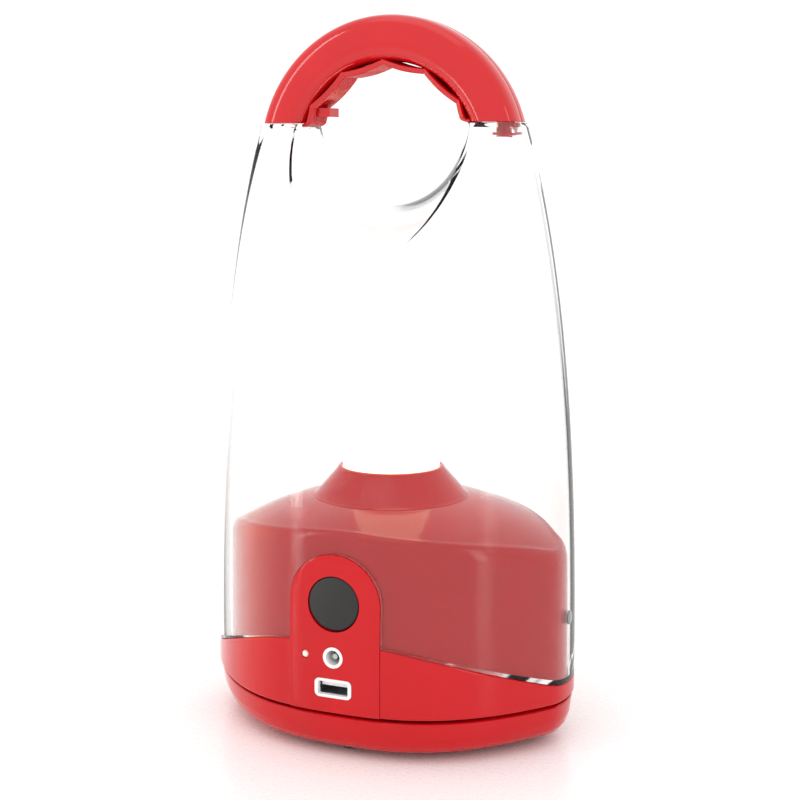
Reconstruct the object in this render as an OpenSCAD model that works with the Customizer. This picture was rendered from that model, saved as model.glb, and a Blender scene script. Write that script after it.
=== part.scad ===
// Rechargeable area lantern: clear arched cover on a red base, with a swing-open
// carrying handle. X runs across the wide front, the front faces -Y, Z is up.
// The origin is on the resting plane, below the light tube's axis.

/* [Body] */
// Width of the body across the ends
body_w = 151.2; // [148:0.2:155]
// Depth of the body from front to back
body_d = 108; // [106:0.5:112]
// Half depth of the nearly flat ends
end_half_d = 9; // [8:0.5:10]
// Height of the plates that carry the handle
plate_z = 238; // [236:1:240]
// Height of the shadow groove above the resting plane
groove_z = 18; // [17:0.5:19]
// Thickness of the clear cover's wall
cover_wall = 2.4; // [2:0.2:2.6]
// Highest point of the domed deck under the light tube
deck_z = 96; // [95:1:97]
// Radius of the domed deck
deck_r = 135; // [130:1:140]

/* [Hand opening] */
// Radius of the hand opening at its narrowest, halfway through
throat_r = 34; // [33:0.5:35]
// Height of the hand opening's centre
throat_z = 241; // [240:0.5:242]
// Flare of the hand opening: a smaller value flares more
flare = 62; // [56:1:70]

/* [Front panel] */
// Width of the arched front panel
fascia_w = 37.4; // [36:0.2:38]
// Diameter of the power button
button_d = 20.9; // [20:0.1:21]
// Height of the power button's centre
button_z = 60.5; // [60:0.5:62]
// Travel of the power button
button_travel = 1.5; // [1:0.1:1.5]
// Height of the charging jack's centre
jack_z = 40; // [39:0.5:41]
// Height of the USB outlet's centre
usb_z = 28; // [27.5:0.5:28.5]

/* [Light] */
// Radius of the frosted light tube
tube_r = 19.2; // [18.8:0.1:19.4]
// Top of the light tube
tube_top = 184; // [176:1:188]

/* [Handle] */
// Outer radius of the handle's arch
handle_r = 55; // [54.5:0.1:55.2]
// Thickness of the handle across the arch
handle_t = 17.6; // [17:0.1:18]
// Depth of the handle from front to back
handle_d = 19; // [18.6:0.1:19.2]
// Height of the arch's centre
arch_z = 224; // [223.5:0.5:224]
// Distance from the middle to the pivot peg's axis
pivot_x = 47; // [46.5:0.5:47]
// Distance from the middle to the lock bolt's axis
lock_x = 42; // [41.5:0.5:42.5]
// Travel of the lock
lock_travel = 4; // [3.5:0.1:4]

/* [Hidden] */
$fn = 64;

red = "#C8161D";
clear_grey = [0.85, 0.88, 0.88, 0.35];
gap = 0.3;
eps = 0.01;
outline_n = 56;
corner_power = 90;
front_power = 2.7;
width_reach = 285;
profile_power = 2.4;
skin = 3;
housing_wall = 2.4;
housing_z0 = groove_z + 0.5;
tray_top = groove_z - 1;
floor_z = 4.6;
front_y = -body_d / 2;
board_y = -37.6;
board_t = 1.6;
fascia_proud = 0.25;
tray_post = [48, 14];
board_post_x = 21;
board_post_z = [26, 70];
side_screw_z = 50;
foot_r = 5;
foot_pos = [[0, 37], [0, -37], [58, 0], [-58, 0]];
post_w = 12;
handle_cut_z = plate_z + gap;
mid_r = handle_r - handle_t / 2;
shell_wall = 2.2;
grip_t = 1.8;
grip_half_w = 6.8;
grip_from = 22;
grip_to = 158;
tab_top = 245.5;
tab_t = 4.2;
peg_r = 3.5;

// Half width and half depth of the body at height z
function half_w(z) = body_w / 2
    * pow(1 - pow(max(z - groove_z, 0) / width_reach, profile_power), 0.45);
function half_d(z) = end_half_d + 0.5 + (body_d / 2 - end_half_d - 0.5)
    * pow(max(1 - pow(max(z - groove_z, 0) / (plate_z - groove_z), profile_power), 0), 0.7);

// One closed outline of the body at height z, moved inwards by inset
function outline(z, inset) = [for (i = [0 : outline_n - 1])
    let (c = cos(360 * i / outline_n), s = 1 - pow(1 - abs(c), 1.5),
        e = max(end_half_d - inset, 1.5),
        d = e + (half_d(z) - inset - e) * (1 - pow(s, front_power)))
    [sign(c) * (half_w(z) - inset) * s,
        sign(sin(360 * i / outline_n)) * d * sqrt(max(1 - pow(s, corner_power), 0)), z]];

// Solid between the outlines at the heights zs, each moved in by its inset
module loft(zs, insets) {
    n = outline_n;
    last = len(zs) - 1;
    polyhedron(
        points = [for (k = [0 : last]) each outline(zs[k], insets[k])],
        faces = concat(
            [[for (i = [0 : n - 1]) i]],
            [for (k = [0 : last - 1], i = [0 : n - 1])
                [k * n + i, (k + 1) * n + i, (k + 1) * n + (i + 1) % n, k * n + (i + 1) % n]],
            [[for (i = [n - 1 : -1 : 0]) last * n + i]]));
}

// Body-shaped solid from z0 to z1, with its rings closer together near the top
module body_solid(z0, z1, inset, steps = 12) {
    zs = [for (k = [0 : steps]) z0 + (z1 - z0) * sin(90 * k / steps)];
    loft(zs, [for (k = [0 : steps]) inset]);
}

// Hourglass that bounds the hand opening, grown by extra
module hand_tunnel(extra) {
    translate([0, 0, throat_z]) rotate([90, 0, 0])
        rotate_extrude($fn = 96)
            polygon(concat([[0, -46]],
                [for (y = [-46 : 7.667 : 46.1]) [throat_r + extra + y * y / flare, y]], [[0, 46]]));
}

// Everything above the arched joint line between cover and band
module above_joint(lift) {
    translate([0, body_d, 0]) rotate([90, 0, 0]) linear_extrude(2 * body_d)
        polygon(concat([for (x = [-84 : 6 : 84]) [x, 46.5 + lift - 0.0038 * x * x]],
            [[84, 260], [-84, 260]]));
}

// Arched block in front of the body, where the front panel sits
module fascia_arch(w, depth = 30) {
    translate([0, front_y + depth - 5, 0]) rotate([90, 0, 0]) linear_extrude(depth) {
        translate([0, button_z]) circle(d = w);
        translate([-w / 2, 0]) square([w, button_z]);
    }
}

// Cylinder along Y, from y0 to y1
module y_rod(x, z, y0, y1, r, fn = 48) {
    translate([x, y1, z]) rotate([90, 0, 0]) cylinder(r = r, h = y1 - y0, $fn = fn);
}

// Rounded plate in the XZ plane, from y0 to y1
module y_plate(x, z, w, h, r, y0, y1) {
    translate([x, y1, z]) rotate([90, 0, 0]) linear_extrude(y1 - y0) {
        square([w - 2 * r, h], center = true);
        square([w, h - 2 * r], center = true);
        for (i = [-1, 1], j = [-1, 1])
            translate([i * (w / 2 - r), j * (h / 2 - r)]) circle(r = r, $fn = 32);
    }
}

module base_tray() {
    color(red) difference() {
        union() {
            difference() {
                loft([2, 2.9, 4.5, 7, 10.5, tray_top], [11, 7.2, 4.4, 2.4, 1.3, 0.7]);
                loft([floor_z, 7, 10.5, tray_top + 1], [7.6, 5.2, 4, 3.4]);
            }
            for (i = [-1, 1], j = [-1, 1])
                translate([i * tray_post[0], j * tray_post[1], 3]) cylinder(r = 4, h = tray_top - 3);
        }
        for (i = [-1, 1], j = [-1, 1]) translate([i * tray_post[0], j * tray_post[1], 0]) {
            cylinder(r = 1.7, h = 30);
            cylinder(r = 3, h = 5);
        }
        for (p = foot_pos) translate([p[0], p[1], 0]) cylinder(r = foot_r + 0.05, h = 3);
    }
}

module tray_feet() {
    color("dimgray") for (p = foot_pos) translate([p[0], p[1], 0]) {
        cylinder(r1 = foot_r - 0.6, r2 = foot_r, h = 0.8);
        translate([0, 0, 0.8]) cylinder(r = foot_r, h = 2.2);
    }
}

module tray_screws() {
    color("silver") for (i = [-1, 1], j = [-1, 1]) translate([i * tray_post[0], j * tray_post[1], 0]) {
        translate([0, 0, 2.8]) cylinder(r = 2.8, h = 2.2);
        translate([0, 0, 5]) cylinder(r = 1.4, h = 22);
    }
}

// Inner red wall and deck as a full solid, thinned by t
module deck_body(t) {
    intersection() {
        body_solid(housing_z0 - (t > 0 ? 1 : 0), 108, skin + t, 7);
        translate([0, 0, deck_z - deck_r]) sphere(r = deck_r - t, $fn = 96);
    }
}

module main_housing() {
    color(red) difference() {
        union() {
            difference() {
                deck_body(0);
                deck_body(housing_wall);
            }
            // Outer band below the clear cover
            difference() {
                loft([housing_z0, housing_z0 + 1, 32, 48], [0.4, 0, 0, 0]);
                loft([housing_z0 - 1, 32, 50], [skin + 1, skin + 1, skin + 1]);
                above_joint(0);
                fascia_arch(fascia_w + 0.3);
            }
            // Floor plate with its screw posts
            difference() {
                loft([housing_z0, housing_z0 + 2], [skin + 1, skin + 1]);
                translate([-40, -32, 0]) cube([80, 62, 40]);
                for (i = [-1, 1], j = [-1, 1])
                    translate([i * tray_post[0], j * tray_post[1], 0]) cylinder(r = 2, h = 60);
            }
            for (i = [-1, 1], j = [-1, 1])
                translate([i * tray_post[0], j * tray_post[1], housing_z0]) cylinder(r = 4, h = 11);
            for (x = [-board_post_x, board_post_x], z = board_post_z) y_rod(x, z, -45.5, board_y, 3);
        }
        for (i = [-1, 1], j = [-1, 1])
            translate([i * tray_post[0], j * tray_post[1], 0]) cylinder(r = 1.5, h = 27.5);
        for (x = [-board_post_x, board_post_x], z = board_post_z) y_rod(x, z, -44, -30, 1.1);
        y_rod(0, button_z, -60, -40, button_d / 2 + 0.3);
        y_rod(0, jack_z, -60, -40, 4.2);
        y_rod(-11.8, jack_z, -60, -40, 1.6);
        y_plate(0, usb_z, 13.6, 6.2, 0.5, -60, -40);
        for (i = [-1, 1]) translate([i * 73, 0, side_screw_z]) rotate([0, 90, 0])
            cylinder(r = 1.5, h = 20, center = true);
        for (a = [90, 210, 330]) rotate(a) translate([26, 0, 80]) cylinder(r = 1.5, h = 20);
        translate([0, 0, 80]) cylinder(r = 4, h = 20);
    }
}

module front_fascia() {
    color(red) difference() {
        intersection() {
            body_solid(housing_z0, 96, -fascia_proud, 8);
            fascia_arch(fascia_w);
        }
        body_solid(housing_z0 - 1, 98, skin, 8);
        y_rod(0, button_z, -60, -40, button_d / 2 + 0.2);
        y_rod(0, jack_z, -60, -40, 4.1);
        y_rod(-11.8, jack_z, -60, -40, 1.55);
        y_plate(0, usb_z, 15.3, 7.3, 2, -60, -40);
    }
}

module dome_cover() {
    color(clear_grey) difference() {
        union() {
            difference() {
                body_solid(24, plate_z, 0, 14);
                difference() {
                    body_solid(23, plate_z - 2, cover_wall, 14);
                    hand_tunnel(cover_wall);
                }
            }
            translate([-lock_x, 0, 230.2]) cylinder(r = 4.3, h = 6.3);
        }
        hand_tunnel(0);
        difference() {
            translate([-90, -70, 0]) cube([180, 140, 60]);
            above_joint(0.2);
        }
        fascia_arch(fascia_w + 0.4);
        translate([-lock_x, 0, 229]) cylinder(r = 2.5, h = 20);
        translate([pivot_x, 0, 229]) cylinder(r = peg_r + 0.06, h = 20);
        for (i = [-1, 1]) translate([i * 75, 0, side_screw_z]) rotate([0, i * 90, 0]) {
            translate([0, 0, -8]) cylinder(r = 1.6, h = 16);
            translate([0, 0, -1.2]) cylinder(r = 2.8, h = 10);
        }
    }
}

module cover_screws() {
    color("silver") for (i = [-1, 1]) translate([i * 75, 0, side_screw_z]) rotate([0, i * 90, 0]) {
        translate([0, 0, -1.15]) cylinder(r = 2.7, h = 1.3);
        translate([0, 0, -6]) cylinder(r = 1.4, h = 4.85);
    }
}

module tube_collar() {
    color(red) difference() {
        translate([0, 0, 89]) cylinder(r1 = 33, r2 = 20.6, h = 15.2);
        translate([0, 0, deck_z - deck_r]) sphere(r = deck_r + eps, $fn = 96);
        translate([0, 0, 80]) cylinder(r = tube_r + 0.05, h = 40);
        for (a = [90, 210, 330]) rotate(a) translate([26, 0, 80]) cylinder(r = 1.2, h = 15);
    }
}

module collar_screws() {
    color("silver") for (a = [90, 210, 330]) rotate(a) translate([26, 0, 0]) {
        translate([0, 0, 88.2]) cylinder(r = 2.6, h = 2);
        translate([0, 0, 90.2]) cylinder(r = 1.1, h = 4.4);
    }
}

module diffuser_tube() {
    color("ivory") translate([0, 0, 96.2]) difference() {
        cylinder(r = tube_r, h = tube_top - 2 - 96.2);
        translate([0, 0, -1]) cylinder(r = tube_r - 1.6, h = 120);
    }
}

module diffuser_cap() {
    color("ivory") {
        translate([0, 0, tube_top - 2]) cylinder(r = tube_r, h = 2);
        translate([0, 0, tube_top - 5]) cylinder(r = tube_r - 1.65, h = 3);
    }
}

module led_post() {
    color("silver") difference() {
        union() {
            translate([0, 0, 96.05]) cylinder(r = 15, h = 2);
            translate([-post_w / 2, -post_w / 2, 96.05]) cube([post_w, post_w, tube_top - 8 - 96.05]);
        }
        translate([0, 0, 90]) cylinder(r = 3, h = 100);
    }
}

module led_boards() {
    color("white") for (a = [0 : 90 : 270]) rotate(a)
        translate([post_w / 2, -5, 101]) cube([1.2, 10, 73]);
}

module led_chips() {
    color("khaki") for (a = [0 : 90 : 270], k = [0 : 6]) rotate(a)
        translate([post_w / 2 + 1.2, -1.6, 104 + 10 * k]) cube([0.8, 3.2, 3.2]);
}

module battery_cells() {
    color("steelblue") for (y = [-20, -1, 18]) translate([-32.5, y, 16.2]) rotate([0, 90, 0]) {
        cylinder(r = 9.2, h = 64);
        translate([0, 0, 64]) cylinder(r = 3, h = 1);
    }
}

module battery_holder() {
    color("dimgray") {
        translate([-36, -31, floor_z + 0.05]) cube([72, 60, 2.2]);
        translate([-36, -31, floor_z + 0.05]) cube([3.4, 60, 20]);
        translate([32.6, -31, floor_z + 0.05]) cube([3.4, 60, 20]);
    }
}

module battery_leads() {
    color("firebrick") for (y = [-24, -14]) {
        translate([34.3, y, floor_z + 20.1]) cylinder(r = 0.9, h = 22);
        translate([34.3, y, floor_z + 42]) sphere(r = 0.9, $fn = 24);
        y_rod(34.3, floor_z + 42, -33, y, 0.9, 24);
        translate([34.3, -33, floor_z + 42]) sphere(r = 0.9, $fn = 24);
        translate([24 + (y + 24) * 0.2, -33, floor_z + 42]) rotate([0, 90, 0])
            cylinder(r = 0.9, h = 10.3 - (y + 24) * 0.2, $fn = 24);
    }
}

module control_board() {
    color("darkgreen") difference() {
        translate([-26, board_y, 22.5]) cube([52, board_t, 52]);
        for (x = [-board_post_x, board_post_x], z = board_post_z) y_rod(x, z, -40, -30, 1.3);
    }
}

module board_screws() {
    color("silver") for (x = [-board_post_x, board_post_x], z = board_post_z) {
        y_rod(x, z, board_y + board_t, board_y + board_t + 1.8, 2.4);
        y_rod(x, z, -43.5, board_y + board_t, 1);
    }
}

module tact_switch() {
    color("black") {
        y_rod(0, button_z, board_y - 4.6, board_y - 3.4, 1.7);
        translate([-3, board_y - 3.4, button_z - 3]) cube([6, 3.4, 6]);
    }
}

module dc_jack_body() {
    color("black") difference() {
        translate([-4.5, -47, jack_z - 4.5]) cube([9, 47 + board_y, 9]);
        y_rod(0, jack_z, -48, -39, 3.2);
    }
}

module dc_jack_bezel() {
    color("white") difference() {
        union() {
            y_rod(0, jack_z, -53.9, -47, 4);
            y_rod(0, jack_z, -54.3, -53.6, 4.05);
        }
        y_rod(0, jack_z, -60, -46, 2.9);
    }
}

module dc_jack_pin() {
    color("silver") y_rod(0, jack_z, -52.2, -39, 1.05);
}

module usb_shell() {
    color("silver") difference() {
        y_plate(0, usb_z, 13.1, 5.7, 0.4, -52.4, board_y);
        y_plate(0, usb_z, 12.5, 5.1, 0.3, -60, board_y - 1);
    }
}

module usb_tongue() {
    color("white") translate([-5.8, -51.4, usb_z + 0.2]) cube([11.6, 12.7, 1.8]);
}

module usb_bezel() {
    color("white") difference() {
        y_plate(0, usb_z, 15.2, 7.2, 1.95, -54.4, -52.45);
        y_plate(0, usb_z, 12.4, 5.2, 0.6, -60, -50);
    }
}

module indicator_led() {
    color("honeydew") {
        y_rod(-11.8, jack_z, -52.8, -44, 1.5);
        translate([-11.8, -52.8, jack_z]) sphere(r = 1.5, $fn = 32);
    }
}

module power_button() {
    color("#222222") {
        y_rod(0, button_z, -53.6, -48.2, button_d / 2);
        y_rod(0, button_z, -54.2, -53.6, button_d / 2 - 0.5);
        y_rod(0, button_z, -48.2, board_y - 4.6 - button_travel - 0.1, 3);
    }
}

// Cross-section of the handle, centred, shrunk by t
module handle_section(t) {
    r = 6.5 - t;
    w = handle_t - 2 * t;
    d = handle_d - 2 * t;
    square([w - 2 * r, d], center = true);
    square([w, d - 2 * r], center = true);
    for (i = [-1, 1], j = [-1, 1]) translate([i * (w / 2 - r), j * (d / 2 - r)]) circle(r = r, $fn = 32);
}

// The arch of the handle as a solid ring, shrunk by t, above the foot plane
module handle_arch(t) {
    difference() {
        translate([0, 0, arch_z]) rotate([90, 0, 0])
            rotate_extrude($fn = 128) translate([mid_r, 0]) handle_section(t);
        translate([-100, -50, 100]) cube([200, 100, handle_cut_z + (t > 0 ? shell_wall : 0) - 100]);
    }
}

// Half shell on one side of the seam: side -1 is the front, 1 the rear
module handle_half(side) {
    difference() {
        handle_arch(0);
        handle_arch(shell_wall);
        translate([-100, side > 0 ? -50 : 0, 200]) cube([200, 50, 100]);
        // Seat of the grip
        grip_ring(grip_t + 0.05, grip_half_w + 0.05, 0.3);
        // Slot of the lock tab and the way of the bolt and its slide
        translate([-lock_x - 2.5, -5.3, handle_cut_z - 1]) cube([18, 10.6, 11]);
        translate([pivot_x, 0, 230]) cylinder(r = peg_r + eps, h = 11);
        // Screw bores across the seam
        for (p = handle_screw_at()) y_rod(p[0], p[1], -20, 20, 1.5);
        for (p = handle_screw_at()) y_rod(p[0], p[1], 6.8, 20, 2.9);
    }
}

function handle_screw_at() = [for (a = [48, 90, 132]) [mid_r * cos(a), arch_z + mid_r * sin(a)]];

// Ring segment on the underside of the arch
module grip_ring(t, half_w, more) {
    inner_r = handle_r - handle_t;
    intersection() {
        translate([0, 0, arch_z]) rotate([90, 0, 0]) difference() {
            cylinder(r = inner_r + t, h = 2 * half_w, center = true, $fn = 128);
            cylinder(r = inner_r - 1.6, h = 2 * half_w + 2, center = true, $fn = 128);
        }
        translate([0, 20, arch_z]) rotate([90, 0, 0]) linear_extrude(40) polygon([[0, 0],
            [80 * cos(grip_from - more), 80 * sin(grip_from - more)], [80, 80], [-80, 80],
            [80 * cos(grip_to + more), 80 * sin(grip_to + more)]]);
        translate([-100, -50, tab_top + 1.5]) cube([200, 100, 100]);
    }
}

module grip_insert() {
    color(red) difference() {
        grip_ring(grip_t, grip_half_w, 0);
        // Finger grooves
        for (a = [42, 66, 90, 114, 138])
            translate([26 * cos(a), 0, arch_z + 26 * sin(a)]) rotate([90, 0, 0])
                cylinder(r = handle_r - handle_t - 26 + 0.3, h = 40, center = true, $fn = 48);
    }
}

module handle_front_shell() {
    color(red) handle_half(-1);
}

module handle_rear_shell() {
    color(red) handle_half(1);
}

module handle_screws() {
    color("silver") for (p = handle_screw_at()) {
        y_rod(p[0], p[1], 6.9, 8.8, 2.7);
        y_rod(p[0], p[1], -6, 6.9, 1.4);
    }
}

module pivot_peg() {
    color(red) translate([pivot_x, 0, 0]) difference() {
        translate([0, 0, 232.6]) cylinder(r = peg_r, h = 8.3);
        translate([0, 0, 233.2]) difference() {
            cylinder(r = 6, h = 1.05);
            translate([0, 0, -1]) cylinder(r = 2.6, h = 4);
        }
    }
}

module pivot_retainer() {
    color(red) translate([pivot_x, 0, 233.25]) difference() {
        cylinder(r = 5, h = 0.95);
        translate([0, 0, -1]) cylinder(r = 2.65, h = 4);
    }
}

module lock_slide() {
    color(red) difference() {
        union() {
            translate([-lock_x - 2.2, -5, tab_top - tab_t + 1]) cube([9.5, 10, tab_t]);
            translate([-33.2, -4.5, tab_top - tab_t]) cube([3.2, 9, tab_t + 0.8]);
            translate([-34.8, -4.5, tab_top - tab_t + 1]) cube([2, 9, tab_t - 0.4]);
            translate([-30.1, -4, tab_top - tab_t - 0.6]) cube([5.5, 8, tab_t - 0.8]);
        }
        translate([-lock_x, 0, 200]) cylinder(r = 2.05, h = 45);
    }
}

module lock_bolt() {
    color("silver") translate([-lock_x, 0, plate_z + 0.8]) cylinder(r = 2, h = 6);
}

base_tray();
tray_feet();
tray_screws();
main_housing();
front_fascia();
dome_cover();
cover_screws();
tube_collar();
collar_screws();
diffuser_tube();
diffuser_cap();
led_post();
led_boards();
led_chips();
battery_cells();
battery_holder();
battery_leads();
control_board();
board_screws();
tact_switch();
dc_jack_body();
dc_jack_bezel();
dc_jack_pin();
usb_shell();
usb_tongue();
usb_bezel();
indicator_led();
power_button();
handle_front_shell();
handle_rear_shell();
grip_insert();
handle_screws();
pivot_peg();
pivot_retainer();
lock_slide();
lock_bolt();
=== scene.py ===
import math
import bpy
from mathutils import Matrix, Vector


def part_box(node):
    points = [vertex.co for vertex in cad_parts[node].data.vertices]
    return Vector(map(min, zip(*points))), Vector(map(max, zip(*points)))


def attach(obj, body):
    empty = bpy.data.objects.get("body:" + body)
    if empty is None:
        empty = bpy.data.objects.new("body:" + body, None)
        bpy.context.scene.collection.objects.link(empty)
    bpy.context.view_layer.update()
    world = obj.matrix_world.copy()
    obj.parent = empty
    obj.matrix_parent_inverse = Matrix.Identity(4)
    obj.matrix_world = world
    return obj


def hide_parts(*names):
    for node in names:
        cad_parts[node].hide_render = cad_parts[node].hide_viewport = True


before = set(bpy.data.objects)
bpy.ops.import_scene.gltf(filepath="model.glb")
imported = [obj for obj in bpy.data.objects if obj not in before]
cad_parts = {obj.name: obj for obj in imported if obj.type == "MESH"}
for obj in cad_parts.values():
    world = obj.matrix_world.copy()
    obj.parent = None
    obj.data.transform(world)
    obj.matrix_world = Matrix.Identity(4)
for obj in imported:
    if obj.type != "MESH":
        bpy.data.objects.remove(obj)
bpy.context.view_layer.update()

# Camera: a 71 mm lens about 0.63 m away, a little below the handle's feet, turned 24 degrees
# from the front towards the right end. No shift.
camera_target = Vector((0.00297, 0.00132, 0.130))
camera_distance = 0.625
camera_turn = math.radians(23.9)
camera_rise = math.radians(9.0)
bpy.ops.object.select_all(action="DESELECT")
bpy.ops.object.camera_add()
camera = bpy.context.object
camera.location = camera_target + camera_distance * Vector((
    math.sin(camera_turn) * math.cos(camera_rise),
    -math.cos(camera_turn) * math.cos(camera_rise), math.sin(camera_rise)))
camera.rotation_euler = (camera_target - camera.location).to_track_quat("-Z", "Y").to_euler()
camera.data.lens = 70.9
camera.data.sensor_width = 36
bpy.context.scene.camera = camera
bpy.context.scene.view_settings.view_transform = "Standard"


# Floor: a plain white sweep, satin enough for a faint reflection of the base.
# It belongs to the studio and not to the lantern.
def linear(hex_colour):
    """An sRGB hex colour as linear red, green, blue and alpha."""
    channels = [int(hex_colour[i:i + 2], 16) / 255 for i in (1, 3, 5)]
    return [c / 12.92 if c <= 0.04045 else ((c + 0.055) / 1.055) ** 2.4 for c in channels] + [1]


def add_node(material, kind, settings=None, links=None):
    """Adds one node with its settings, and links its inputs from other nodes' outputs."""
    node = material.node_tree.nodes.new(kind)
    for key, value in (settings or {}).items():
        if isinstance(key, str) and hasattr(node, key):
            setattr(node, key, value)
        else:
            node.inputs[key].default_value = value
    for key, (source, output) in (links or {}).items():
        material.node_tree.links.new(source.outputs[output], node.inputs[key])
    return node


def new_material(name):
    """An empty node material."""
    material = bpy.data.materials.new(name)
    material.use_nodes = True
    material.node_tree.nodes.clear()
    return material


def give(material, *pieces):
    """Puts one material on whole pieces."""
    for piece in pieces:
        piece.data.materials.clear()
        piece.data.materials.append(material)


bpy.ops.mesh.primitive_plane_add(size=60)
floor = bpy.context.object
floor.name = "floor"
# White satin laminate: even, with a soft sheen
white_sweep = new_material("white_satin_laminate")
sweep_place = add_node(white_sweep, "ShaderNodeTexCoord")
sweep_grain = add_node(white_sweep, "ShaderNodeTexNoise", {"Scale": 600.0, "Detail": 2.0},
                       {"Vector": (sweep_place, "Object")})
sweep_rough = add_node(white_sweep, "ShaderNodeMapRange", {"To Min": 0.24, "To Max": 0.32},
                       {"Value": (sweep_grain, "Fac")})
sweep_skin = add_node(white_sweep, "ShaderNodeBsdfPrincipled",
                      {"Base Color": linear("#FBFAFA"), "IOR": 1.45},
                      {"Roughness": (sweep_rough, "Result")})
add_node(white_sweep, "ShaderNodeOutputMaterial", links={"Surface": (sweep_skin, "BSDF")})
give(white_sweep, floor)

# Studio light: a white surround, a tall strip each side for the long upright reflections,
# a wide box from above and a warm card low on the left.
world = bpy.data.worlds.new("studio")
bpy.context.scene.world = world
world.use_nodes = True
world.node_tree.nodes["Background"].inputs["Color"].default_value = (1.0, 1.0, 1.0, 1.0)
world.node_tree.nodes["Background"].inputs["Strength"].default_value = 1.15


def soft_box(name, place, aim, wide, tall, power, colour="#FFFFFF"):
    """One rectangular area light aimed at a point."""
    bpy.ops.object.light_add(type="AREA", location=place)
    light = bpy.context.object
    light.name = name
    light.data.shape = "RECTANGLE"
    light.data.size = wide
    light.data.size_y = tall
    light.data.energy = power
    light.data.color = linear(colour)[:3]
    light.rotation_euler = (Vector(aim) - Vector(place)).to_track_quat("-Z", "Y").to_euler()


soft_box("left_strip", (-0.65, -0.75, 0.30), (0, 0, 0.10), 0.09, 0.9, 1.5)
soft_box("right_strip", (0.95, -0.45, 0.30), (0, 0, 0.12), 0.14, 0.9, 1.3)
soft_box("top_box", (-0.1, -0.3, 1.3), (0, 0, 0.1), 0.9, 0.9, 1.6)
soft_box("warm_card", (-0.7, -0.1, 0.15), (0, 0, 0.05), 0.5, 0.3, 0.7, "#FF9A50")


# Clear cover: one thick clear polycarbonate moulding with a flared hand opening through it,
# two plates for the handle's feet and a hollow boss below the left plate. It sits on the
# base's arched edge and is held by a screw at each end.
groove_height = 0.018
plate_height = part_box("dome_cover")[1][2]
half_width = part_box("dome_cover")[1][0]
front_depth = 0.054
end_depth = 0.009
plate_depth = 0.0095
cover_wall = 0.0024
plate_thick = 0.002
boss_radius = 0.0043
boss_low = plate_height - 0.0078
bolt_bore = 0.0025
peg_bore = 0.00356
throat_radius = 0.034
throat_height = 0.241
flare_length = 0.062
lock_x = -0.042
pivot_x = 0.047


def half_wide(z):
    """Half width of the body at height z."""
    return half_width * (1 - (max(z - groove_height, 0) / 0.285) ** 2.4) ** 0.45


def half_deep(z):
    """Half depth of the body at height z, in its middle."""
    rise = min(max(z - groove_height, 0) / (plate_height - groove_height), 1)
    return plate_depth + (front_depth - plate_depth) * (1 - rise ** 2.4) ** 0.7


def outline(turn, z, inset):
    """A point of the body's outline: turn goes once round from 0 to 1."""
    along = math.cos(2 * math.pi * turn)
    share = 1 - (1 - abs(along)) ** 1.5
    end = max(end_depth - inset, 0.0015)
    depth = end + (half_deep(z) - inset - end) * (1 - share ** 2.7)
    across = math.sqrt(max(1 - share ** 90, 0))
    if turn in (0, 1):
        across = 0
    return (math.copysign((half_wide(z) - inset) * share, along),
            math.copysign(depth * across, math.sin(2 * math.pi * turn)))


def joint_height(x):
    """Height of the arched joint between the cover and the base."""
    return 0.0465 - 3.8 * x * x


def mapped_grid(name, columns, rows, place, closed=True):
    """A grid whose vertices are placed by a rule, sewn up where they meet."""
    bpy.ops.object.select_all(action="DESELECT")
    bpy.ops.mesh.primitive_grid_add(x_subdivisions=columns, y_subdivisions=rows, size=1)
    piece = bpy.context.object
    piece.name = name
    for vertex in piece.data.vertices:
        vertex.co = place(min(max(vertex.co.x + 0.5, 0), 1), min(max(vertex.co.y + 0.5, 0), 1))
    bpy.ops.object.mode_set(mode="EDIT")
    bpy.ops.mesh.select_all(action="SELECT")
    bpy.ops.mesh.remove_doubles(threshold=1e-6)
    bpy.ops.mesh.dissolve_degenerate(threshold=1e-6)
    if closed:
        bpy.ops.mesh.select_all(action="SELECT")
        bpy.ops.mesh.fill_holes(sides=0)
        bpy.ops.mesh.select_all(action="SELECT")
    bpy.ops.mesh.normals_make_consistent(inside=False)
    bpy.ops.object.mode_set(mode="OBJECT")
    return piece


def body_solid(name, low, high, inset, rows):
    """The body's shape between two heights, moved in by inset."""
    def place(turn, rise):
        z = low + (high - low) * math.sin(math.pi / 2 * rise)
        x, y = outline(turn if turn < 1 else 0, z, inset)
        return x, y, z
    return mapped_grid(name, 200, rows, place)


def apply(piece, kind, **settings):
    """Adds one modifier and applies it."""
    bpy.ops.object.select_all(action="DESELECT")
    piece.select_set(True)
    bpy.context.view_layer.objects.active = piece
    modifier = piece.modifiers.new("step", kind)
    for key, value in settings.items():
        setattr(modifier, key, value)
    bpy.ops.object.modifier_apply(modifier=modifier.name)


def cut(piece, tool, operation="DIFFERENCE"):
    """Cuts a piece with a tool, joins them or keeps what they share, and drops the tool."""
    apply(piece, "BOOLEAN", object=tool, operation=operation, solver="EXACT")
    bpy.data.objects.remove(tool)


def smooth(piece, degrees=35):
    """Smooth shading up to an angle."""
    bpy.ops.object.select_all(action="DESELECT")
    piece.select_set(True)
    bpy.context.view_layer.objects.active = piece
    bpy.ops.object.shade_smooth_by_angle(angle=math.radians(degrees))


def fit(piece, body, slot, *nodes):
    """Parents the piece to the body it rides on and hides the CAD nodes it stands for; slot is not
    used.
    """
    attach(piece, body)
    if nodes:
        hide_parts(*nodes)


def hand_tunnel(extra):
    """The hourglass along Y that bounds the hand opening."""
    reach = 0.062
    def place(turn, along):
        y = reach * (2 * along - 1)
        radius = throat_radius + extra + y * y / flare_length
        angle = 2 * math.pi * (turn if turn < 1 else 0)
        return radius * math.cos(angle), y, throat_height + radius * math.sin(angle)
    return mapped_grid("tunnel", 160, 40, place)


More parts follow.
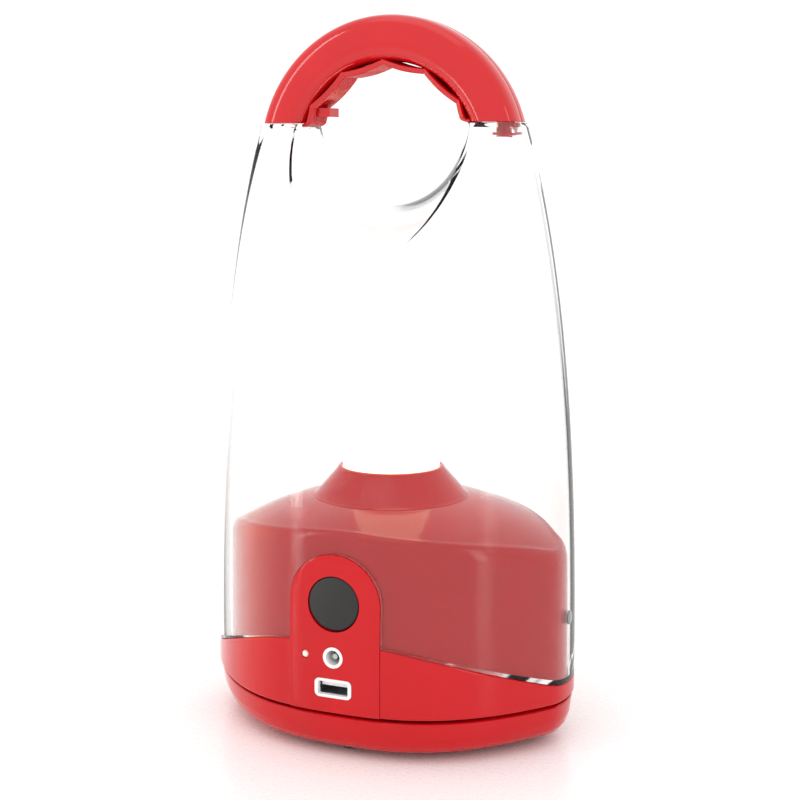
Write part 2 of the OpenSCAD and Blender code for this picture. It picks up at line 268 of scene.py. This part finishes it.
def below_joint(gap):
    """A block whose top is the arched joint."""
    block = mapped_grid("block", 80, 2, lambda a, b: (
        0.18 * (a - 0.5), 0.16 * (b - 0.5), joint_height(0.18 * (a - 0.5)) + gap), closed=False)
    bpy.ops.object.mode_set(mode="EDIT")
    bpy.ops.mesh.select_all(action="SELECT")
    bpy.ops.mesh.extrude_region_move(TRANSFORM_OT_translate={"value": (0, 0, -0.08)})
    bpy.ops.mesh.select_all(action="SELECT")
    bpy.ops.mesh.normals_make_consistent(inside=False)
    bpy.ops.object.mode_set(mode="OBJECT")
    return block


def rod(x, y0, y1, z, radius, vertices=96):
    """A cylinder along Y."""
    bpy.ops.object.select_all(action="DESELECT")
    bpy.ops.mesh.primitive_cylinder_add(vertices=vertices, radius=radius, depth=y1 - y0,
                                        location=(x, (y0 + y1) / 2, z), rotation=(math.pi / 2, 0, 0))
    bpy.ops.object.transform_apply(location=True, rotation=True, scale=True)
    return bpy.context.object


def post(x, y, low, high, radius, vertices=96):
    """A cylinder along Z."""
    bpy.ops.object.select_all(action="DESELECT")
    bpy.ops.mesh.primitive_cylinder_add(vertices=vertices, radius=radius, depth=high - low,
                                        location=(x, y, (low + high) / 2))
    bpy.ops.object.transform_apply(location=True, rotation=True, scale=True)
    return bpy.context.object


panel_width = 0.0374
button_height = 0.0605
jack_height = 0.040
indicator_x = -0.0118
usb_height = 0.028


def arch_block(width, low=0.0):
    """The front panel's arched outline as a block across the front wall."""
    block = rod(0, -0.07, -0.036, button_height, width / 2, 128)
    for vertex in block.data.vertices:
        if vertex.co.z < button_height - 1e-6:
            vertex.co.z = low
    return block


def usb_block(wide, tall, corner):
    """A block with rounded edges across the front wall, round the USB outlet."""
    bpy.ops.object.select_all(action="DESELECT")
    bpy.ops.mesh.primitive_cube_add(size=1, location=(0, -0.05, usb_height))
    block = bpy.context.object
    block.dimensions = (wide, 0.02, tall)
    bpy.ops.object.transform_apply(location=True, rotation=True, scale=True)
    apply(block, "BEVEL", width=corner, segments=6, limit_method="NONE")
    return block


cover = body_solid("clear_cover", 0.024, plate_height, 0, 110)
hollow = body_solid("hollow", 0.020, plate_height - plate_thick, cover_wall, 110)
cut(hollow, hand_tunnel(cover_wall))
cut(cover, hollow)
cut(cover, post(lock_x, 0, boss_low, plate_height - 0.001, boss_radius), "UNION")
cut(cover, hand_tunnel(0))
cut(cover, below_joint(0.0002))
cut(cover, arch_block(panel_width + 0.0004))
cut(cover, post(lock_x, 0, plate_height - 0.009, plate_height + 0.01, bolt_bore))
cut(cover, post(pivot_x, 0, plate_height - 0.009, plate_height + 0.01, peg_bore))
smooth(cover, 30)

# Moulded clear polycarbonate: polished, with a trace of haze and long shallow flow waves.
# Its index of refraction is set below the real 1.58 to thin the dark edges.
clear_polycarbonate = new_material("moulded_clear_polycarbonate")
clear_place = add_node(clear_polycarbonate, "ShaderNodeTexCoord")
clear_map = add_node(clear_polycarbonate, "ShaderNodeMapping", {"Scale": (1.0, 1.0, 0.35)},
                     {"Vector": (clear_place, "Object")})
clear_flow = add_node(clear_polycarbonate, "ShaderNodeTexNoise", {"Scale": 22.0, "Detail": 1.0},
                      {"Vector": (clear_map, "Vector")})
clear_bump = add_node(clear_polycarbonate, "ShaderNodeBump", {"Strength": 0.06, "Distance": 0.002},
                      {"Height": (clear_flow, "Fac")})
clear_haze = add_node(clear_polycarbonate, "ShaderNodeMapRange", {"To Min": 0.015, "To Max": 0.035},
                      {"Value": (clear_flow, "Fac")})
clear_skin = add_node(clear_polycarbonate, "ShaderNodeBsdfPrincipled",
                      {"Base Color": linear("#FDFDFC"), "IOR": 1.3, "Transmission Weight": 1.0},
                      {"Roughness": (clear_haze, "Result"), "Normal": (clear_bump, "Normal")})
add_node(clear_polycarbonate, "ShaderNodeOutputMaterial", links={"Surface": (clear_skin, "BSDF")})
give(clear_polycarbonate, cover)
fit(cover, "lantern", "clear_cover", "dome_cover")


# Base housing: one red ABS moulding, the inner wall and domed deck under the clear cover
# and the outer band below it. The deck's edge is rounded.
deck_height = 0.096
deck_radius = 0.135
wall_inset = 0.003
deck_fillet = 0.0025
fillet_height = 0.084
deck_thick = 0.0022
band_thick = 0.0028
housing_low = groove_height + 0.0005


def deck_z(x, y):
    """Height of the domed deck."""
    return deck_height - deck_radius + math.sqrt(deck_radius ** 2 - x * x - y * y)


def deck_place(turn, rise):
    """Wall, rounded edge, then the dome inwards to a small hole in the middle."""
    turn = turn if turn < 1 else 0
    wall_end, fillet_end = 0.35, 0.45
    x, y = outline(turn, fillet_height, wall_inset)
    edge = deck_z(x, y)
    if rise <= wall_end:
        z = housing_low + (edge - deck_fillet - housing_low) * rise / wall_end
        x, y = outline(turn, z, wall_inset)
        return x, y, z
    if rise <= fillet_end:
        angle = math.pi / 2 * (rise - wall_end) / (fillet_end - wall_end)
        inset = wall_inset + deck_fillet * (1 - math.cos(angle))
        x, y = outline(turn, fillet_height, inset)
        xi, yi = outline(turn, fillet_height, wall_inset + deck_fillet)
        return x, y, edge - deck_fillet + (deck_z(xi, yi) - edge + deck_fillet) * math.sin(angle)
    x, y = outline(turn, fillet_height, wall_inset + deck_fillet)
    share = 1 - (rise - fillet_end) / (1 - fillet_end) * 0.93
    return x * share, y * share, deck_z(x * share, y * share)


housing = mapped_grid("housing_deck", 200, 80, deck_place, closed=False)
apply(housing, "SOLIDIFY", thickness=deck_thick, offset=-1)
cut(housing, rod(0, -0.06, -0.04, button_height, 0.0108))
cut(housing, rod(0, -0.06, -0.04, jack_height, 0.0042, 48))
cut(housing, rod(indicator_x, -0.06, -0.04, jack_height, 0.0016, 32))
cut(housing, usb_block(0.0136, 0.0062, 0.0003))
smooth(housing, 40)


def band_place(turn, rise):
    """Outer band from the groove to the arched joint, with a small round at each edge."""
    turn = turn if turn < 1 else 0
    x, y = outline(turn, 0.03, 0)
    top = joint_height(x) - 0.0001
    z = housing_low + (top - housing_low) * rise
    edge = min(z - housing_low, top - z)
    round_in = max(0.0006 - edge, 0) ** 2 / 0.0012
    x, y = outline(turn, z, round_in)
    return x, y, z


band = mapped_grid("housing_band", 200, 48, band_place, closed=False)
apply(band, "SOLIDIFY", thickness=band_thick, offset=-1)
cut(band, arch_block(panel_width + 0.0003))
smooth(band, 40)

# Gloss red ABS: deep even red, polished tool finish, faint flow waves
red_abs = new_material("gloss_red_abs")
red_place = add_node(red_abs, "ShaderNodeTexCoord")
red_map = add_node(red_abs, "ShaderNodeMapping", {"Scale": (1.0, 1.0, 0.4)},
                   {"Vector": (red_place, "Object")})
red_flow = add_node(red_abs, "ShaderNodeTexNoise", {"Scale": 30.0, "Detail": 2.0},
                    {"Vector": (red_map, "Vector")})
red_tone = add_node(red_abs, "ShaderNodeMix", {"data_type": "RGBA", 6: linear("#B80710"),
                                               7: linear("#CA0C16")},
                    {0: (red_flow, "Fac")})
red_rough = add_node(red_abs, "ShaderNodeMapRange", {"To Min": 0.06, "To Max": 0.12},
                     {"Value": (red_flow, "Fac")})
red_bump = add_node(red_abs, "ShaderNodeBump", {"Strength": 0.05, "Distance": 0.002},
                    {"Height": (red_flow, "Fac")})
red_skin = add_node(red_abs, "ShaderNodeBsdfPrincipled",
                    {"IOR": 1.52, "Specular IOR Level": 0.3},
                    {"Base Color": (red_tone, "Result"), "Roughness": (red_rough, "Result"),
                     "Normal": (red_bump, "Normal")})
add_node(red_abs, "ShaderNodeOutputMaterial", links={"Surface": (red_skin, "BSDF")})
give(red_abs, housing, band)
fit(housing, "lantern", "red_abs", "main_housing")
fit(band, "lantern", "red_abs", "main_housing")


# Base tray: the lowest red ABS moulding, boat-shaped underneath, screwed up into the
# housing from below. The groove above it is the shadow line.
tray_rings = [(0.0020, 0.0110), (0.0021, 0.0095), (0.0029, 0.0072), (0.0045, 0.0044),
              (0.0070, 0.0024), (0.0105, 0.0013), (0.0140, 0.0009), (0.0166, 0.0007),
              (0.0170, 0.0011)]


def tray_place(turn, rise):
    """Outside of the tray, straight from one ring to the next."""
    at = rise * (len(tray_rings) - 1)
    k = min(int(at), len(tray_rings) - 2)
    z, inset = [a + (b - a) * (at - k) for a, b in zip(tray_rings[k], tray_rings[k + 1])]
    x, y = outline(turn if turn < 1 else 0, z, inset)
    return x, y, z


tray = mapped_grid("base_tray_shell", 200, 4 * (len(tray_rings) - 1), tray_place)
cut(tray, body_solid("tray_inside", 0.0046, 0.03, 0.0055, 4))
for foot_x, foot_y in ((0, 0.037), (0, -0.037), (0.058, 0), (-0.058, 0)):
    cut(tray, post(foot_x, foot_y, -0.001, 0.0031, 0.00505, 48))
smooth(tray, 40)
give(red_abs, tray)
fit(tray, "lantern", "red_abs", "base_tray")


# Front panel: a separate arched red ABS moulding, a hair proud of the cover, with the
# bores for the button, jack, indicator and USB outlet. It snaps into the housing.
panel = arch_block(panel_width, housing_low)
panel.name = "front_panel"
cut(panel, body_solid("panel_skin", 0.010, 0.11, -0.00025, 24), "INTERSECT")
cut(panel, body_solid("panel_back", 0.008, 0.12, wall_inset, 24))
apply(panel, "BEVEL", width=0.00035, segments=2, limit_method="ANGLE", angle_limit=math.radians(50))
cut(panel, rod(0, -0.06, -0.04, button_height, 0.01065))
cut(panel, rod(0, -0.06, -0.04, jack_height, 0.0041, 48))
cut(panel, rod(indicator_x, -0.06, -0.04, jack_height, 0.00155, 32))
cut(panel, usb_block(0.0153, 0.0073, 0.0019))
smooth(panel, 35)
give(red_abs, panel)
fit(panel, "lantern", "red_abs", "front_fascia")


# Collar: a red ABS cone ring that holds the foot of the light tube, with a small rounded
# rim. Three screws hold it from under the deck.
collar_profile = [(0.0311, 0.0915), (0.0312, 0.0925), (0.0300, 0.0932), (0.0216, 0.1028),
                  (0.0209, 0.1039), (0.0200, 0.1042), (0.01935, 0.1038), (0.0193, 0.0960)]


def lathe(name, profile, rows_each=3):
    """A turned ring through the profile's points of radius and height."""
    count = len(profile)
    def place(turn, rise):
        at = rise * count
        k = min(int(at), count - 1)
        first, second = profile[k], profile[(k + 1) % count]
        radius, z = [a + (b - a) * (at - k) for a, b in zip(first, second)]
        angle = 2 * math.pi * (turn if turn < 1 else 0)
        return radius * math.cos(angle), radius * math.sin(angle), z
    return mapped_grid(name, 160, count * rows_each, place, closed=False)


collar = lathe("tube_collar_ring", collar_profile)
smooth(collar, 40)
give(red_abs, collar)
fit(collar, "lantern", "red_abs", "tube_collar")


# Light tube: a frosted white acrylic tube, lit from inside by the LED post, closed by a
# cap of the same acrylic. It is pressed into the collar.
tube_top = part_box("diffuser_cap")[1][2]
tube_outer = 0.0192
tube_inner = tube_outer - 0.0016
tube_foot = 0.0962
tube_profile = [(tube_outer, tube_foot), (tube_outer, tube_top - 0.003),
                (tube_outer - 0.0004, tube_top - 0.0022),
                (tube_inner, tube_top - 0.0021), (tube_inner, tube_foot)]
tube = lathe("light_tube", tube_profile, rows_each=6)
smooth(tube, 40)
# Frosted acrylic, lit: a warm white glow that grows towards the top
frosted = new_material("frosted_lit_acrylic")
frost_place = add_node(frosted, "ShaderNodeTexCoord")
frost_axes = add_node(frosted, "ShaderNodeSeparateXYZ", links={"Vector": (frost_place, "Object")})
frost_rise = add_node(frosted, "ShaderNodeMapRange",
                      {"From Min": 0.105, "From Max": 0.175, "To Min": 1.5, "To Max": 3.0},
                      {"Value": (frost_axes, "Z")})
frost_grain = add_node(frosted, "ShaderNodeTexNoise", {"Scale": 900.0, "Detail": 2.0},
                       {"Vector": (frost_place, "Object")})
frost_bump = add_node(frosted, "ShaderNodeBump", {"Strength": 0.15, "Distance": 0.0003},
                      {"Height": (frost_grain, "Fac")})
frost_skin = add_node(frosted, "ShaderNodeBsdfPrincipled",
                      {"Base Color": linear("#FFFBEF"), "Roughness": 0.55, "IOR": 1.49,
                       "Emission Color": linear("#FFF0CC")},
                      {"Emission Strength": (frost_rise, "Result"), "Normal": (frost_bump, "Normal")})
add_node(frosted, "ShaderNodeOutputMaterial", links={"Surface": (frost_skin, "BSDF")})
give(frosted, tube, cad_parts["diffuser_cap"])
fit(tube, "lantern", "frosted_tube", "diffuser_tube")


# Handle: two gloss red ABS half shells on a seam in the middle plane, joined by three
# screws from the rear. Each end is a flat foot that stands on one of the cover's plates.
arch_height = 0.224
handle_outer = 0.055
handle_thick = 0.0176
handle_half = 0.0095
middle_radius = handle_outer - handle_thick / 2
foot_height = plate_height + 0.0003


def handle_place(around, along):
    """The arch from the right foot to the left one, with a rounded square section."""
    angle = 2 * math.pi * (around if around < 1 else 0)
    power = 2 / 3.4
    out = math.copysign(abs(math.cos(angle)) ** power, math.cos(angle)) * handle_thick / 2
    side = math.copysign(abs(math.sin(angle)) ** power, math.sin(angle)) * handle_half
    radius = middle_radius + out
    start = math.asin(min((foot_height - arch_height) / radius, 1))
    bend = start + (math.pi - 2 * start) * along
    return radius * math.cos(bend), side, arch_height + radius * math.sin(bend)


handle_red = new_material("gloss_red_handle_abs")
handle_coord = add_node(handle_red, "ShaderNodeTexCoord")
handle_flow = add_node(handle_red, "ShaderNodeTexNoise", {"Scale": 45.0, "Detail": 2.0},
                       {"Vector": (handle_coord, "Object")})
handle_tone = add_node(handle_red, "ShaderNodeMix", {"data_type": "RGBA", 6: linear("#BF0811"),
                                                     7: linear("#CC0D16")},
                       {0: (handle_flow, "Fac")})
handle_rough = add_node(handle_red, "ShaderNodeMapRange", {"To Min": 0.06, "To Max": 0.11},
                        {"Value": (handle_flow, "Fac")})
handle_bump = add_node(handle_red, "ShaderNodeBump", {"Strength": 0.05, "Distance": 0.0015},
                       {"Height": (handle_flow, "Fac")})
handle_skin = add_node(handle_red, "ShaderNodeBsdfPrincipled", {"IOR": 1.52, "Specular IOR Level": 0.5},
                       {"Base Color": (handle_tone, "Result"), "Roughness": (handle_rough, "Result"),
                        "Normal": (handle_bump, "Normal")})
add_node(handle_red, "ShaderNodeOutputMaterial", links={"Surface": (handle_skin, "BSDF")})

for side, shell_name, node_name in ((-1, "handle_shell_front", "handle_front_shell"),
                                    (1, "handle_shell_rear", "handle_rear_shell")):
    shell = mapped_grid(shell_name, 96, 160, handle_place)
    bpy.ops.object.mode_set(mode="EDIT")
    bpy.ops.mesh.select_all(action="SELECT")
    bpy.ops.mesh.bisect(plane_co=(0, side * 0.00008, 0), plane_no=(0, side, 0), use_fill=True,
                        clear_inner=True)
    bpy.ops.object.mode_set(mode="OBJECT")
    apply(shell, "BEVEL", width=0.0003, segments=2, limit_method="ANGLE",
          angle_limit=math.radians(60))
    smooth(shell, 40)
    give(handle_red, shell)
    fit(shell, "handle", "handle_red", node_name)


# Grip: a ribbed insert in the underside of the arch, moulded in red ABS, with waves
# for the fingers. The ribs run along the arch and follow the waves.
grip_inner = handle_outer - handle_thick
grip_half = 0.0072
grip_start = math.radians(22)
grip_end = math.radians(160)
rib_count = 7


def grip_place(across, along):
    """Ribbed and waved underside of the grip."""
    bend = grip_start + (grip_end - grip_start) * along
    side = grip_half * (2 * across - 1)
    ends = min(1, min(along, 1 - along) / 0.04)
    ends = math.sin(math.pi / 2 * ends)
    wave = 0.0019 * abs(math.cos(5 * math.pi * along)) ** 0.8 * ends
    ribs = 0.0007 * abs(math.sin(math.pi * rib_count * across)) ** 0.8 * ends
    sides = 0.0012 * max(0, abs(2 * across - 1) - 0.86) / 0.14
    radius = grip_inner - 0.0002 - 0.0004 * ends - wave - ribs + sides * ends
    return radius * math.cos(bend), side, arch_height + radius * math.sin(bend)


grip = mapped_grid("ribbed_grip", 84, 260, grip_place, closed=False)
apply(grip, "SOLIDIFY", thickness=0.0012, offset=-1 if grip.data.polygons[0].normal.z < 0 else 1)
smooth(grip, 60)
give(handle_red, grip)
fit(grip, "handle", "grip_red", "grip_insert")


# Power button: a black ABS cap with a slightly crowned, fine-grained face. It slides in
# the front panel's bore and presses the switch behind.
button_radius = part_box("power_button")[1][0]
button_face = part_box("power_button")[0][1]


def button_place(turn, rise):
    """Crowned face, rounded rim, then the skirt and the stem's end."""
    angle = 2 * math.pi * (turn if turn < 1 else 0)
    rim = 0.0011
    if rise < 0.5:
        share = 2 * rise
        radius = (button_radius - rim) * share
        y = button_face + 0.0007 * share * share
    elif rise < 0.75:
        bend = math.pi / 2 * (rise - 0.5) / 0.25
        radius = button_radius - rim + rim * math.sin(bend)
        y = button_face + 0.0007 + rim * (1 - math.cos(bend))
    else:
        radius = button_radius
        y = button_face + 0.0018 + 0.0042 * (rise - 0.75) / 0.25
    return radius * math.cos(angle), y, button_height + radius * math.sin(angle)


button = mapped_grid("button_cap", 96, 32, button_place)
smooth(button, 40)
# Black ABS with a fine spark-eroded grain, about 0.2 mm, drawn twice as coarse to show
black_abs = new_material("grained_black_abs")
black_place = add_node(black_abs, "ShaderNodeTexCoord")
black_grain = add_node(black_abs, "ShaderNodeTexNoise", {"Scale": 2500.0, "Detail": 2.0},
                       {"Vector": (black_place, "Object")})
black_tone = add_node(black_abs, "ShaderNodeMix", {"data_type": "RGBA", 6: linear("#131312"),
                                                   7: linear("#20201E")},
                      {0: (black_grain, "Fac")})
black_bump = add_node(black_abs, "ShaderNodeBump", {"Strength": 0.4, "Distance": 0.0001},
                      {"Height": (black_grain, "Fac")})
black_skin = add_node(black_abs, "ShaderNodeBsdfPrincipled", {"Roughness": 0.5, "IOR": 1.5},
                      {"Base Color": (black_tone, "Result"), "Normal": (black_bump, "Normal")})
add_node(black_abs, "ShaderNodeOutputMaterial", links={"Surface": (black_skin, "BSDF")})
give(black_abs, button)
fit(button, "button", "button_black", "power_button")


# Small parts that keep their exact shape: each gets the finish of its real material,
# with a grain at its own scale.
def plain_finish(name, dark, light, rough_low, rough_high, scale, metal=0.0, bump=0.1):
    """A moulded, wrapped or plated finish: two close tones, uneven roughness, fine relief."""
    material = new_material(name)
    place = add_node(material, "ShaderNodeTexCoord")
    grain = add_node(material, "ShaderNodeTexNoise", {"Scale": scale, "Detail": 3.0},
                     {"Vector": (place, "Object")})
    tone = add_node(material, "ShaderNodeMix", {"data_type": "RGBA", 6: linear(dark), 7: linear(light)},
                    {0: (grain, "Fac")})
    rough = add_node(material, "ShaderNodeMapRange", {"To Min": rough_low, "To Max": rough_high},
                     {"Value": (grain, "Fac")})
    relief = add_node(material, "ShaderNodeBump", {"Strength": bump, "Distance": 0.0002},
                      {"Height": (grain, "Fac")})
    skin = add_node(material, "ShaderNodeBsdfPrincipled", {"Metallic": metal},
                    {"Base Color": (tone, "Result"), "Roughness": (rough, "Result"),
                     "Normal": (relief, "Normal")})
    add_node(material, "ShaderNodeOutputMaterial", links={"Surface": (skin, "BSDF")})
    return material


small_parts = [
    (plain_finish("white_gloss_abs", "#EDEDEA", "#F6F6F4", 0.18, 0.3, 400.0),
     ["dc_jack_bezel", "usb_bezel", "usb_tongue"]),
    (plain_finish("zinc_plated_steel", "#9FA2A4", "#BFC2C4", 0.25, 0.4, 700.0, 1.0),
     ["tray_screws", "cover_screws", "collar_screws", "board_screws", "handle_screws", "lock_bolt",
      "usb_shell", "dc_jack_pin"]),
    (plain_finish("black_rubber", "#1A1918", "#2A2928", 0.6, 0.8, 900.0, 0.0, 0.3),
     ["tray_feet"]),
    (plain_finish("black_nylon", "#121212", "#1E1E1E", 0.4, 0.55, 600.0),
     ["dc_jack_body", "tact_switch", "battery_holder"]),
    (plain_finish("extruded_aluminium", "#B9BBBD", "#D4D6D8", 0.25, 0.4, 300.0, 1.0), ["led_post"]),
    (plain_finish("white_solder_mask", "#E6E6E2", "#F1F1EE", 0.3, 0.4, 500.0), ["led_boards"]),
    (plain_finish("phosphor_silicone", "#E8C85A", "#F2DA84", 0.3, 0.45, 900.0), ["led_chips"]),
    (plain_finish("blue_shrink_wrap", "#1C3F7A", "#25508F", 0.2, 0.35, 200.0), ["battery_cells"]),
    (plain_finish("red_pvc_insulation", "#8E1414", "#A51C1C", 0.4, 0.5, 500.0), ["battery_leads"]),
    (plain_finish("green_solder_mask", "#0D4A22", "#15602E", 0.25, 0.35, 300.0), ["control_board"]),
    (plain_finish("diffused_led_lens", "#E9D5CC", "#F8EAE2", 0.15, 0.25, 500.0), ["indicator_led"]),
]
for finish, names in small_parts:
    give(finish, *[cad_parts[name] for name in names])
give(handle_red, *[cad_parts[name] for name in ("pivot_peg", "pivot_retainer", "lock_slide")])
